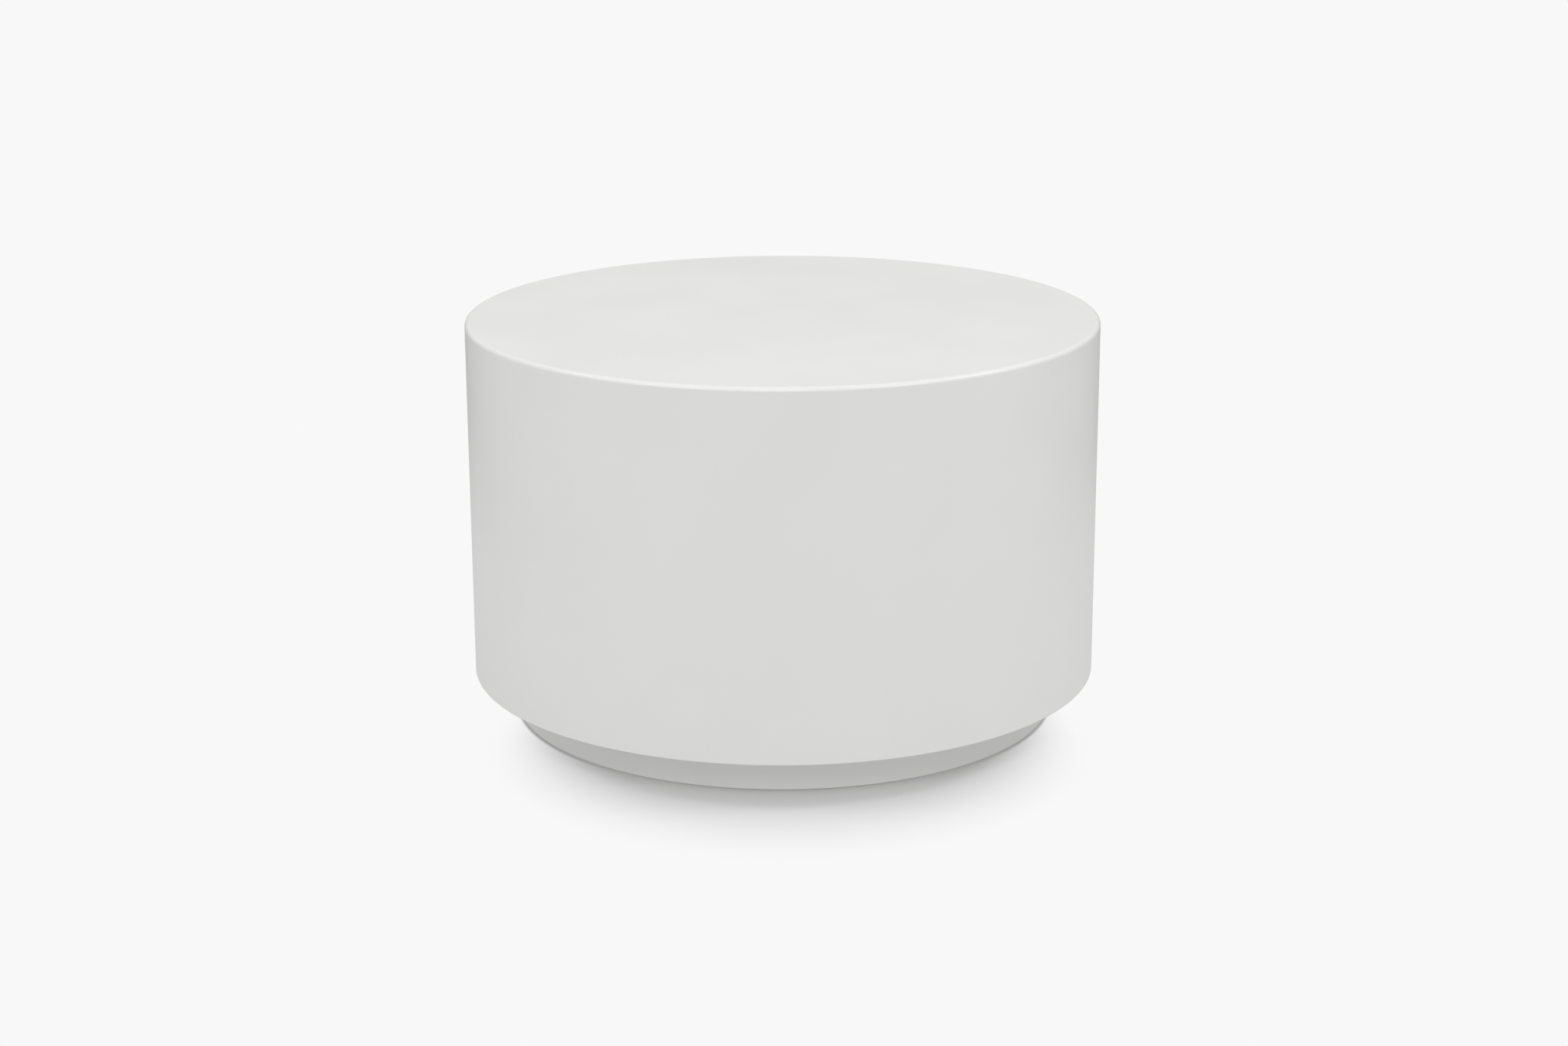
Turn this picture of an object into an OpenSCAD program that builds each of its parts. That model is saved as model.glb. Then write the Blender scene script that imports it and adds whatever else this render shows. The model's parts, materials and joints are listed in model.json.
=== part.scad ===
// Round drum coffee table on a set-back plinth, in millimetres.
// The floor is z = 0, the drum's axis is the Z axis and the front faces -Y.
// The drum is a frame of three rings and upright studs, wrapped in a kerfed board and a
// smooth skin, closed by a top and a bottom panel, and bolted down on a two-ring plinth.

/* [Drum] */
// Outer diameter of the drum
table_d = 600; // [540:10:900]
// Height of the drum from its lower edge to the table top
drum_h = 342; // [260:1:420]
// Radius along the upper rim
rim_r = 6; // [2:0.5:10]
// Small radius along the lower edges that show
arris_r = 1; // [0.5:0.5:2]
// Thickness of the top panel
top_t = 19; // [16:1:30]
// Thickness of the bottom panel
bottom_t = 12; // [10:1:16]
// Clearance round the bottom panel inside the skin
panel_gap = 0.4; // [0.2:0.1:1]

/* [Drum wall] */
// Thickness of the smooth outer skin
skin_t = 4; // [3:0.5:6]
// Thickness of the kerfed board under the skin
core_t = 8; // [6:0.5:12]
// Width of a saw kerf in that board
kerf_w = 3; // [2:0.5:4]
// Thickness that a kerf leaves uncut
kerf_web = 3; // [2:0.5:4]
// Spacing of the kerfs round the inside
kerf_pitch = 15; // [10:1:30]
// Gap at the butt joint where the kerfed board's ends meet
seam_gap = 0.5; // [0.2:0.1:1]

/* [Frame] */
// Radial width of the three rings
former_w = 70; // [56:1:100]
// Thickness of the three rings
former_t = 19; // [16:1:25]
// Number of upright studs
stud_count = 8; // [6:1:12]
// Width of a stud along the wall
stud_w = 40; // [30:1:50]
// Depth of a stud towards the axis
stud_t = 28; // [20:1:34]
// Clearance round a stud in the middle ring's notch
notch_gap = 0.3; // [0.1:0.1:1]

/* [Plinth] */
// How far the plinth is set back behind the drum's face
plinth_setback = 40; // [30:1:50]
// Radial width of the two plinth rings
plinth_ring_w = 60; // [50:1:90]
// Thickness of one plinth ring
plinth_ring_t = 19; // [18:1:30]
// Gap under the plinth with the feet screwed right in
floor_gap = 2; // [1:0.5:4]
// Diameter of the dowels between the two rings
dowel_d = 8; // [6:1:10]
// Length of those dowels
dowel_l = 30; // [20:1:34]
// Chamfer that leads a dowel into its hole
dowel_chamfer = 1; // [0.5:0.5:2]

/* [Fastenings] */
// Shank diameter of the countersunk wood screws
screw_d = 4; // [3:0.5:5]
// Head diameter of the wood screws
screw_head_d = 8; // [7:0.5:10]
// Diameter of the cross recess in a wood screw's head
recess_d = 4.4; // [3.6:0.2:4.6]
// Width of an arm of that cross
recess_arm_w = 0.9; // [0.6:0.1:1.2]
// Metal left between the cross and the cone of the head
recess_wall = 0.2; // [0.1:0.1:0.4]
// How far a screw head lies below the surface
screw_sink = 0.5; // [0.2:0.1:1]
// Length of a conical screw point
screw_point = 6; // [4:1:8]
// Radius of the blunt tip of that point
screw_tip_r = 0.4; // [0.2:0.1:0.8]
// Length of the screws through the top and bottom rings into the studs
stud_screw_l = 50; // [35:1:60]
// Length of the screws through the studs into the middle ring
middle_screw_l = 45; // [38:1:46]
// Length of the screws through the top ring into the top panel
top_screw_l = 30; // [26:1:32]
// Length of the screws through the bottom panel into the bottom ring
panel_screw_l = 25; // [20:1:26]
// Shank diameter of the plinth bolts
bolt_d = 6; // [5:1:8]
// Head diameter of the plinth bolts
bolt_head_d = 10; // [8.5:0.5:13]
// Height of a bolt head
bolt_head_h = 6; // [5:1:8]
// Hexagon key size of the bolts, across flats
bolt_key = 5; // [4:1:6]
// Depth of that hexagon
bolt_key_h = 3; // [2:0.5:4]
// Chamfer round the outer face of a bolt head
bolt_head_chamfer = 0.4; // [0.2:0.1:0.6]
// Chamfer on the thread ends of the bolts and of the feet
thread_chamfer = 0.7; // [0.4:0.1:1]
// How far a bolt head lies inside its counterbore
bolt_sink = 3; // [1:0.5:5]
// Length of bolt thread held by its insert
bolt_grip = 9; // [8:0.5:12]
// Number of plinth bolts between one foot and the next
bolts_per_bay = 1; // [1:1:2]
// Diameter of a plinth washer
washer_d = 12; // [11:0.5:16]
// Thickness of a plinth washer
washer_t = 1.6; // [1:0.1:2]
// Radial clearance between a washer and its bolt
washer_gap = 0.2; // [0.1:0.05:0.5]
// Wall of a threaded insert round its thread
insert_wall = 1.6; // [1:0.1:3]
// Length of a bolt's threaded insert
bolt_insert_l = 13; // [12:0.5:15]
// Radial clearance round a bolt in its hole and in its counterbore
bolt_clear = 0.4; // [0.2:0.1:0.8]
// Radial clearance left in threads and round screws, so that the solids never overlap
thread_gap = 0.05; // [0.02:0.01:0.1]

/* [Adjustable feet] */
// Number of adjustable feet
foot_count = 4; // [3:1:6]
// How far a foot screws out
foot_travel = 12; // [6:1:12]
// Diameter of a foot pad
pad_d = 34; // [26:1:40]
// Height of a foot pad
pad_h = 6; // [5:0.5:9]
// Height of the pad's upright rim above its chamfer
pad_rim_h = 1.5; // [1:0.5:2]
// Chamfer under the pad's rim
pad_chamfer = 1; // [0.5:0.5:2]
// Thickness of the pad under the spindle
pad_floor_t = 1.6; // [1:0.1:2]
// Thread diameter of a foot spindle
spindle_d = 8; // [8:1:10]
// Diameter of the disc on the spindle's lower end, held in the pad
spindle_disc_d = 13; // [12:0.5:16]
// Thickness of that disc
spindle_disc_t = 2; // [1.5:0.1:2.4]
// Size of the spindle's hexagon collar, across flats
collar_af = 13; // [12:1:17]
// Thickness of the collar
collar_t = 3.5; // [2:0.5:5]
// How far the collar's faces are turned down inside its flats
collar_face_in = 0.3; // [0.2:0.1:0.6]
// Slope of the chamfer that this leaves on the corners
collar_slope = 30; // [15:5:30]
// Running clearance between a spindle and its pad, and between the collar and its stop
foot_clear = 0.3; // [0.2:0.1:0.6]
// Clearance between a pad and the wall of its recess
recess_gap = 3; // [1:0.5:4]
// Length of a foot's threaded insert
foot_insert_l = 14; // [12:0.5:15]
// Diameter of that insert's flange
flange_d = 18; // [16:0.5:22]
// Thickness of the flange
flange_t = 1.5; // [1:0.5:2]

/* [Hidden] */
$fn = 96;

// Radii, from the outside in
table_r = table_d / 2;
core_r = table_r - skin_t;
frame_r = core_r - core_t;
former_in_r = frame_r - former_w;
plinth_r = table_r - plinth_setback;
plinth_in_r = plinth_r - plinth_ring_w;

// Heights above the floor, from the bottom up
plinth_z = floor_gap;
plinth_joint_z = plinth_z + plinth_ring_t;
drum_z = plinth_joint_z + plinth_ring_t;
bottom_ring_z = drum_z + bottom_t;
stud_z = bottom_ring_z + former_t;
top_z = drum_z + drum_h;
top_panel_z = top_z - top_t;
top_ring_z = top_panel_z - former_t;
stud_h = top_ring_z - stud_z;
middle_ring_z = stud_z + (stud_h - former_t) / 2;

// Fixing circles: the plinth is fastened where its rings lie under the bottom ring
fixing_r = (max(plinth_in_r, former_in_r) + min(plinth_r, frame_r)) / 2;
stud_screw_r = frame_r - stud_t / 2;
top_screw_r = frame_r - former_w / 2;
plinth_mid_r = plinth_r - plinth_ring_w / 2;

// Angles: a bay runs from one foot to the next, with bolts in it and a dowel between fastenings
stud_step = 360 / stud_count;
bay = 360 / foot_count;
bay_step = bay / (bolts_per_bay + 1);
foot_angles = [for (i = [0:foot_count - 1]) bay * (i + 0.5)];
bolt_angles = [for (a = foot_angles, j = [1:bolts_per_bay]) a + bay_step * j];
dowel_angles = [for (a = foot_angles, j = [0:bolts_per_bay]) a + bay_step * (j + 0.5)];

// The kerfed board's butt joint lies on the stud nearest the back. Bending the board closes the
// mouth of each kerf by the kerf's depth times the angle, in radians, that the kerf takes up.
seam_angle = stud_step * round(90 / stud_step);
kerf_count = floor(2 * PI * frame_r / kerf_pitch);
kerf_step = 360 / kerf_count;
kerf_mouth_w = kerf_w - (core_t - kerf_web) * kerf_step * PI / 180;

// The cross recess of a screw goes as deep as the cone of its head allows
recess_h = (screw_head_d - recess_d) / 2 - recess_wall;

// Bolts: the head lies in a counterbore and the thread ends in an insert in the bottom ring
bolt_head_z = plinth_z + bolt_sink;
washer_z = bolt_head_z + bolt_head_h;
bolt_seat_z = washer_z + washer_t;
bolt_l = bottom_ring_z + bolt_grip - washer_z;
counterbore_r = max(washer_d, bolt_head_d) / 2 + bolt_clear;

// Feet: pad, collar and insert stack up from the floor, and a spindle still fills its insert
// when the foot is screwed right out
collar_z = pad_h + foot_clear;
foot_insert_z = collar_z + collar_t + foot_clear;
spindle_top_z = foot_insert_z + foot_insert_l + foot_travel;
recess_r = pad_d / 2 + recess_gap;

stud_names = [for (i = [1:stud_count]) str("stud_", i)];
pad_names = [for (i = [1:foot_count]) str("foot_pad_", i)];
spindle_names = [for (i = [1:foot_count]) str("foot_spindle_", i)];

lacquer = [0.90, 0.90, 0.89];
raw_mdf = [0.72, 0.60, 0.45];
bending_board = [0.79, 0.67, 0.51];
pine = [0.88, 0.76, 0.55];
beech = [0.80, 0.62, 0.42];
zinc = [0.72, 0.73, 0.74];
brass_zinc = [0.77, 0.69, 0.44];
nylon = [0.12, 0.12, 0.13];

// How far a cutting shape runs past the surface that it opens
over = 1;

// Places its children at radius r and angle a, with X pointing away from the axis
module polar(r, a, z = 0) {
    rotate(a) translate([r, 0, z]) children();
}

// A flat ring from z = 0 up
module ring(outer_r, inner_r, t) {
    difference() {
        cylinder(r = outer_r, h = t);
        translate([0, 0, -over]) cylinder(r = inner_r, h = t + 2 * over);
    }
}

// Half section from x0 to x1 and from y = 0 up to h, with its lower outer corner rounded
module eased_section(x0, x1, h, r) {
    difference() {
        translate([x0, 0]) square([x1 - x0, h]);
        translate([x1 - r, -over]) square([r + over, r + over]);
    }
    intersection() {
        translate([x1 - r, r]) circle(r = r);
        translate([x1 - r, 0]) square(r);
    }
}

// A rod from z = 0 up to h, chamfered by low at its lower end and by high at its upper end
module rod(r, h, low = 0, high = 0) rotate_extrude() polygon(concat(
    [[0, 0]],
    low > 0 ? [[r - low, 0], [r, low]] : [[r, 0]],
    high > 0 ? [[r, h - high], [r - high, h]] : [[r, h]],
    [[0, h]]));

// A nut's hexagon, its corners turned down from both faces by a pair of cones
module turned_hexagon(af, h) {
    face_r = af / 2 - collar_face_in;
    wide_r = face_r + h / tan(collar_slope);
    intersection() {
        cylinder(d = af / cos(30), h = h, $fn = 6);
        cylinder(r1 = face_r, r2 = wide_r, h = h);
        cylinder(r1 = wide_r, r2 = face_r, h = h);
    }
}

// A wood screw with its head's face at z = 0, pointing up; gap widens it into its own hole
module screw_form(l, gap = 0) {
    head_h = (screw_head_d - screw_d) / 2;
    shank_r = screw_d / 2 + gap;
    cylinder(r1 = screw_head_d / 2 + gap, r2 = shank_r, h = head_h);
    cylinder(r = shank_r, h = l - screw_point);
    translate([0, 0, l - screw_point])
        cylinder(r1 = shank_r, r2 = screw_tip_r + gap, h = screw_point + gap);
}

// That screw with its cross recess, whose arms end on a cone
module wood_screw(l) difference() {
    screw_form(l);
    intersection() {
        translate([0, 0, -over])
            cylinder(r1 = recess_d / 2 + over / 2, r2 = recess_d / 2 - recess_h / 2, h = over + recess_h);
        for (a = [0, 90]) rotate(a)
            translate([-recess_d, -recess_arm_w / 2, -over])
                cube([2 * recess_d, recess_arm_w, over + recess_h]);
    }
}

// The hole for that screw, opened through the surface that its head lies under
module screw_hole(l) {
    screw_form(l, thread_gap);
    translate([0, 0, -screw_sink - over])
        cylinder(r = screw_head_d / 2 + thread_gap, h = screw_sink + over);
}

// Each screw place holds its children with the head's face at z = 0, pointing into the wood
module at_top_stud_screws() {
    for (i = [0:stud_count - 1])
        polar(stud_screw_r, i * stud_step, top_panel_z - screw_sink) mirror([0, 0, 1]) children();
}

module at_bottom_stud_screws() {
    for (i = [0:stud_count - 1])
        polar(stud_screw_r, i * stud_step, bottom_ring_z + screw_sink) children();
}

module at_middle_ring_screws() {
    for (i = [0:stud_count - 1])
        polar(frame_r - screw_sink, i * stud_step, middle_ring_z + former_t / 2)
            rotate([0, -90, 0]) children();
}

module at_top_panel_screws() {
    for (i = [0:stud_count - 1])
        polar(top_screw_r, (i + 0.5) * stud_step, top_ring_z + screw_sink) children();
}

module at_bottom_panel_screws() {
    for (a = dowel_angles) polar(fixing_r, a, drum_z + screw_sink) children();
}

module at_bolts(z) {
    for (a = bolt_angles) polar(fixing_r, a, z) children();
}

module at_feet(z) {
    for (a = foot_angles) polar(plinth_mid_r, a, z) children();
}

module at_dowels(z) {
    for (a = dowel_angles) polar(plinth_mid_r, a, z) children();
}

// Round disc under the top's rim, with pilot holes for the screws that come up through the top ring
module top_panel() color(lacquer) difference() {
    translate([0, 0, top_z]) mirror([0, 0, 1])
        rotate_extrude() eased_section(0, table_r, top_t, rim_r);
    at_top_panel_screws() screw_form(top_screw_l, thread_gap);
}

// Thin smooth board bent round the drum; its butt joint is filled and sanded, so it is one tube
module outer_skin() color(lacquer)
    translate([0, 0, drum_z])
        rotate_extrude() eased_section(core_r, table_r, drum_h - top_t, arris_r);

// Outline of one kerf on the X axis, narrower at its mouth, which opens towards the centre
module kerf() polygon([
    [frame_r - over, -kerf_mouth_w / 2],
    [core_r - kerf_web, -kerf_w / 2],
    [core_r - kerf_web, kerf_w / 2],
    [frame_r - over, kerf_mouth_w / 2]]);

// Board with upright kerfs in its inner face, which let it bend, and its ends butted at the back
module kerfed_core() color(bending_board)
    translate([0, 0, bottom_ring_z]) linear_extrude(top_panel_z - bottom_ring_z) difference() {
        circle(r = core_r);
        circle(r = frame_r);
        for (i = [0:kerf_count - 1]) rotate(seam_angle + (i + 0.5) * kerf_step) kerf();
        rotate(seam_angle) translate([frame_r - over, -seam_gap / 2])
            square([core_t + 2 * over, seam_gap]);
    }

// Disc that closes the drum from below, inside the skin and under the kerfed board
module bottom_panel() color(lacquer) difference() {
    translate([0, 0, drum_z]) cylinder(r = core_r - panel_gap, h = bottom_t);
    at_bottom_panel_screws() screw_hole(panel_screw_l);
    at_bolts(drum_z - over) cylinder(r = bolt_d / 2 + bolt_clear, h = bottom_t + 2 * over);
}

// Ring glued and screwed under the top panel
module top_ring() color(raw_mdf) difference() {
    translate([0, 0, top_ring_z]) ring(frame_r, former_in_r, former_t);
    at_top_stud_screws() screw_hole(stud_screw_l);
    at_top_panel_screws() screw_hole(top_screw_l);
}

// Ring half-way up, notched to let the studs run through
module middle_ring() color(raw_mdf) difference() {
    translate([0, 0, middle_ring_z]) ring(frame_r, former_in_r, former_t);
    for (i = [0:stud_count - 1])
        polar(frame_r - stud_t - notch_gap, i * stud_step, middle_ring_z - over)
            translate([0, -stud_w / 2 - notch_gap, 0])
                cube([stud_t + notch_gap + over, stud_w + 2 * notch_gap, former_t + 2 * over]);
    at_middle_ring_screws() screw_form(middle_screw_l, thread_gap);
}

// Ring on the bottom panel, which takes the studs and the plinth bolts' inserts
module bottom_ring() color(raw_mdf) difference() {
    translate([0, 0, bottom_ring_z]) ring(frame_r, former_in_r, former_t);
    at_bottom_stud_screws() screw_hole(stud_screw_l);
    at_bottom_panel_screws() screw_form(panel_screw_l, thread_gap);
    at_bolts(bottom_ring_z - over)
        cylinder(r = bolt_d / 2 + insert_wall + thread_gap, h = bolt_insert_l + over);
}

// Upright stud number i, planed on its outer face to the frame's curve
module stud(i) color(pine) difference() {
    intersection() {
        polar(frame_r - stud_t, i * stud_step, stud_z)
            translate([0, -stud_w / 2, 0]) cube([stud_t + over, stud_w, stud_h]);
        cylinder(r = frame_r, h = top_z);
    }
    at_top_stud_screws() screw_form(stud_screw_l, thread_gap);
    at_bottom_stud_screws() screw_form(stud_screw_l, thread_gap);
    at_middle_ring_screws() screw_hole(middle_screw_l);
}

// Everything that is bored through the two plinth rings
module plinth_holes() {
    at_bolts(plinth_z - over) cylinder(r = counterbore_r, h = bolt_seat_z - plinth_z + over);
    at_bolts(plinth_z) cylinder(r = bolt_d / 2 + bolt_clear, h = 2 * plinth_ring_t + over);
    at_dowels(plinth_joint_z - dowel_l / 2 - thread_gap)
        cylinder(r = dowel_d / 2 + thread_gap, h = dowel_l + 2 * thread_gap);
    at_feet(plinth_z - over) cylinder(r = recess_r, h = foot_insert_z - plinth_z + over);
    at_feet(foot_insert_z - over) cylinder(r = flange_d / 2 + thread_gap, h = flange_t + over);
    at_feet(foot_insert_z)
        cylinder(r = spindle_d / 2 + insert_wall + thread_gap, h = foot_insert_l);
    at_feet(foot_insert_z) cylinder(r = spindle_d / 2 + bolt_clear, h = drum_z - foot_insert_z + over);
}

// Upper ring of the plinth, under the drum
module plinth_upper_ring() color(lacquer) difference() {
    translate([0, 0, plinth_joint_z]) ring(plinth_r, plinth_in_r, plinth_ring_t);
    plinth_holes();
}

// Lower ring of the plinth, with the recesses for the feet and the counterbores for the bolts
module plinth_lower_ring() color(lacquer) difference() {
    translate([0, 0, plinth_z])
        rotate_extrude() eased_section(plinth_in_r, plinth_r, plinth_ring_t, arris_r);
    plinth_holes();
}

module plinth_dowels() color(beech)
    at_dowels(plinth_joint_z - dowel_l / 2)
        rod(dowel_d / 2, dowel_l, low = dowel_chamfer, high = dowel_chamfer);

module stud_screws_top() color(zinc) at_top_stud_screws() wood_screw(stud_screw_l);

module stud_screws_bottom() color(zinc) at_bottom_stud_screws() wood_screw(stud_screw_l);

module middle_ring_screws() color(zinc) at_middle_ring_screws() wood_screw(middle_screw_l);

module top_panel_screws() color(zinc) at_top_panel_screws() wood_screw(top_screw_l);

module bottom_panel_screws() color(zinc) at_bottom_panel_screws() wood_screw(panel_screw_l);

// Socket-head bolts that hold the plinth up against the drum
module plinth_bolts() color(zinc) at_bolts(bolt_head_z) difference() {
    union() {
        rod(bolt_head_d / 2, bolt_head_h, low = bolt_head_chamfer);
        translate([0, 0, bolt_head_h]) rod(bolt_d / 2, bolt_l, high = thread_chamfer);
    }
    translate([0, 0, -over]) cylinder(d = bolt_key / cos(30), h = bolt_key_h + over, $fn = 6);
}

module plinth_washers() color(zinc)
    at_bolts(washer_z) ring(washer_d / 2, bolt_d / 2 + washer_gap, washer_t);

// Threaded inserts set into the bottom ring from below
module plinth_inserts() color(brass_zinc)
    at_bolts(bottom_ring_z)
        ring(bolt_d / 2 + insert_wall, bolt_d / 2 + thread_gap, bolt_insert_l);

// Flanged inserts that carry the feet, set into the plinth from below
module foot_inserts() color(brass_zinc) at_feet(foot_insert_z) difference() {
    union() {
        cylinder(r = flange_d / 2, h = flange_t);
        cylinder(r = spindle_d / 2 + insert_wall, h = foot_insert_l);
    }
    translate([0, 0, -over]) cylinder(r = spindle_d / 2 + thread_gap, h = foot_insert_l + 2 * over);
}

// Pad of foot i, which stays still on the floor while its spindle turns in it
module foot_pad(i) color(nylon) polar(plinth_mid_r, foot_angles[i]) {
    neck_r = spindle_d / 2 + foot_clear;
    pocket_top = pad_floor_t + spindle_disc_t + 2 * foot_clear;
    difference() {
        rotate_extrude() polygon([
            [0, 0],
            [pad_d / 2 - pad_chamfer, 0],
            [pad_d / 2, pad_chamfer],
            [pad_d / 2, pad_chamfer + pad_rim_h],
            [spindle_disc_d / 2 + foot_clear, pad_h],
            [0, pad_h]]);
        translate([0, 0, pad_floor_t])
            cylinder(r = spindle_disc_d / 2 + foot_clear, h = pocket_top - pad_floor_t);
        translate([0, 0, pad_floor_t]) cylinder(r = neck_r, h = pad_h);
    }
}

// Spindle of foot i: a disc held in the pad, a hexagon collar to turn it by, and the thread
module foot_spindle(i) color(zinc) polar(plinth_mid_r, foot_angles[i]) {
    disc_z = pad_floor_t + foot_clear;
    translate([0, 0, disc_z]) cylinder(r = spindle_disc_d / 2, h = spindle_disc_t);
    translate([0, 0, disc_z])
        rod(spindle_d / 2, spindle_top_z - disc_z, high = thread_chamfer);
    translate([0, 0, collar_z]) turned_hexagon(collar_af, collar_t);
}

top_panel();
outer_skin();
kerfed_core();
bottom_panel();
top_ring();
middle_ring();
bottom_ring();
for (i = [0:stud_count - 1]) stud(i);
plinth_upper_ring();
plinth_lower_ring();
plinth_dowels();
stud_screws_top();
stud_screws_bottom();
middle_ring_screws();
top_panel_screws();
bottom_panel_screws();
plinth_bolts();
plinth_washers();
plinth_inserts();
foot_inserts();
for (i = [0:foot_count - 1]) foot_pad(i);
for (i = [0:foot_count - 1]) foot_spindle(i);
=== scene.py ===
# %% [markdown]
# # A white drum coffee table
# The table is a lacquered drum on a set-back round plinth. Its construction comes from a packed
# CAD model, the frame, which is already at its real size in metres: the floor is z = 0, the
# drum's axis is the Z axis and the front faces -Y. This lesson adds what the eye sees: the
# camera, a plain studio, the finish of every board, and the small turned and threaded parts.
# Nothing here moves or resizes a CAD part.

# %% Load the frame
import json
import math

import bmesh
import bpy
import numpy as np
from mathutils import Matrix, Vector


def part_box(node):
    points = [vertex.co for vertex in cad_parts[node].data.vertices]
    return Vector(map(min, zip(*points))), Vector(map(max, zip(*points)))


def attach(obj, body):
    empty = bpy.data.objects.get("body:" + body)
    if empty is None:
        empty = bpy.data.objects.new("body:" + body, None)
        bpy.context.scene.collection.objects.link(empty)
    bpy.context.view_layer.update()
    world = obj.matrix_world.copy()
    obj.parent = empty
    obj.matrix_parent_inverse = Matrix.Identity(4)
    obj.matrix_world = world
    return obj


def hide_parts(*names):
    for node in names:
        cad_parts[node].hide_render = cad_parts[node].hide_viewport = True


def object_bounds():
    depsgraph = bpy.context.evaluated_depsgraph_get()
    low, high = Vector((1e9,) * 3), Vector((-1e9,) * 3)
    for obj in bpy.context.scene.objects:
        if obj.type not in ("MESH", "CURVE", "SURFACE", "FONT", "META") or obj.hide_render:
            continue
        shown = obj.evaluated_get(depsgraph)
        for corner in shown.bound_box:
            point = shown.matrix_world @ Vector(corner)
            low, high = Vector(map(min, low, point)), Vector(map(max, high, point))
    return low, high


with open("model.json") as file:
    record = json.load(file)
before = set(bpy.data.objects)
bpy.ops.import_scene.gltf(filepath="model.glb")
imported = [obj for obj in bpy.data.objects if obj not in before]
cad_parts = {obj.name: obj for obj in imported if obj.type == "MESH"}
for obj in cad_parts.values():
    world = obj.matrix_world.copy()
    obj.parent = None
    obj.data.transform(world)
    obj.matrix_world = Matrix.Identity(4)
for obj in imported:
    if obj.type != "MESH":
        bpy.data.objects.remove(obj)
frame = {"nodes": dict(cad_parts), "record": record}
cad_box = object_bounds()
nodes = frame["nodes"]
scene = bpy.context.scene
print("CAD nodes:", len(nodes), "box:", [[round(v, 4) for v in corner] for corner in cad_box])

# %% [markdown]
# ## The camera
# The photograph was measured as a pinhole picture: the ellipse of the top, the straight sides and
# the two lower edges fix where the lens stood. It looks along +Y, tipped down by 16 degrees, with
# a lens of about 67 mm on a 36 mm wide picture. There is no lens shift.

# %% Camera
lens_mm, picture_mm = 66.92, 36.0
eye = (0.0008, -2.7101, 0.9557)
pitch_down = math.radians(16.04)
roll = math.radians(-0.174)

lens = bpy.data.cameras.new("camera")
lens.lens = lens_mm
lens.sensor_width = picture_mm
camera = bpy.data.objects.new("camera", lens)
scene.collection.objects.link(camera)
tip = Matrix.Rotation(math.pi / 2 - pitch_down, 4, "X")
camera.matrix_world = Matrix.Translation(eye) @ tip @ Matrix.Rotation(roll, 4, "Z")
scene.camera = camera
scene.view_settings.view_transform = "Standard"
print("camera at", eye, "lens", lens_mm, "mm")

# %% [markdown]
# ## Building a material by name
# Every finish below is a node tree. One small helper adds a node and plugs its inputs: a value
# that is a socket is linked, and anything else is set as the input's own number or colour. That
# keeps each material a short list of what it is made of.

# %% Node helpers
def new_material(name):
    """An empty material with its output node and a Principled BSDF plugged into it."""
    material = bpy.data.materials.new(name)
    material.use_nodes = True
    tree = material.node_tree
    tree.nodes.clear()
    output = tree.nodes.new("ShaderNodeOutputMaterial")
    shader = tree.nodes.new("ShaderNodeBsdfPrincipled")
    tree.links.new(shader.outputs["BSDF"], output.inputs["Surface"])
    return material, tree, shader, output


def plug(tree, target, value):
    """Links value into the socket target, or sets it there if it is a number or a colour."""
    if isinstance(value, bpy.types.NodeSocket):
        tree.links.new(value, target)
    else:
        target.default_value = value


def add(tree, kind, inputs=None, **settings):
    """A new node of that kind, with its settings and its inputs by name or number."""
    node = tree.nodes.new(kind)
    for key, value in settings.items():
        setattr(node, key, value)
    for key, value in (inputs or {}).items():
        plug(tree, node.inputs[key], value)
    return node


def maths(tree, operation, *values, clamp=False):
    """The result of one Math node."""
    node = add(tree, "ShaderNodeMath", dict(enumerate(values)), operation=operation)
    node.use_clamp = clamp
    return node.outputs[0]


def vector_maths(tree, operation, *values):
    """The vector that one Vector Math node gives."""
    inputs = dict(enumerate(values))
    return add(tree, "ShaderNodeVectorMath", inputs, operation=operation).outputs["Vector"]


def length_of(tree, vector):
    """The length of a vector."""
    return add(tree, "ShaderNodeVectorMath", {0: vector}, operation="LENGTH").outputs["Value"]


def ramp(tree, value, low, high, to_low=0.0, to_high=1.0):
    """value carried smoothly from low..high to to_low..to_high, and held beyond."""
    return add(tree, "ShaderNodeMapRange", {
        "Value": value, "From Min": low, "From Max": high, "To Min": to_low, "To Max": to_high,
    }, interpolation_type="SMOOTHSTEP").outputs["Result"]


def place(tree):
    """Object coordinates: metres in the shared frame, because every piece sits at the origin."""
    return add(tree, "ShaderNodeTexCoord").outputs["Object"]


# %% [markdown]
# ## The studio
# The photograph has a pale even background and a short soft shadow that falls a little to the
# front. The floor is a plain disc. Near the table it is a matt surface that catches the shadow
# and is darker than the background, a painted shadow as well; further out it fades into exactly
# the background's tone. Reflections see that same floor dimmed, the more so far away, where a
# studio ends. Light that bounces off it is a pale glow, dimmer under the table. Seen from
# underneath the floor lets the view through, so that the feet show.

# %% Floor disc
floor_r = 6.0


def grid_mesh(name, points, faces):
    """A mesh object at the origin from an array of points and an array of faces."""
    mesh = bpy.data.meshes.new(name)
    mesh.from_pydata(points.tolist(), [], faces.tolist())
    mesh.update()
    piece = bpy.data.objects.new(name, mesh)
    scene.collection.objects.link(piece)
    return piece


def floor_disc(radius, sides=96):
    """A flat fan: one point at the centre and a ring of points at that radius."""
    turn = np.linspace(0, 2 * np.pi, sides, endpoint=False)
    ring = np.stack([radius * np.cos(turn), radius * np.sin(turn), np.zeros(sides)], -1)
    step = np.arange(sides)
    faces = np.stack([np.zeros(sides, int), step + 1, (step + 1) % sides + 1], -1)
    return grid_mesh("floor", np.vstack([np.zeros((1, 3)), ring]), faces)


floor = floor_disc(floor_r)
print("floor disc:", len(floor.data.polygons), "faces out to", floor_r, "m")

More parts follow.
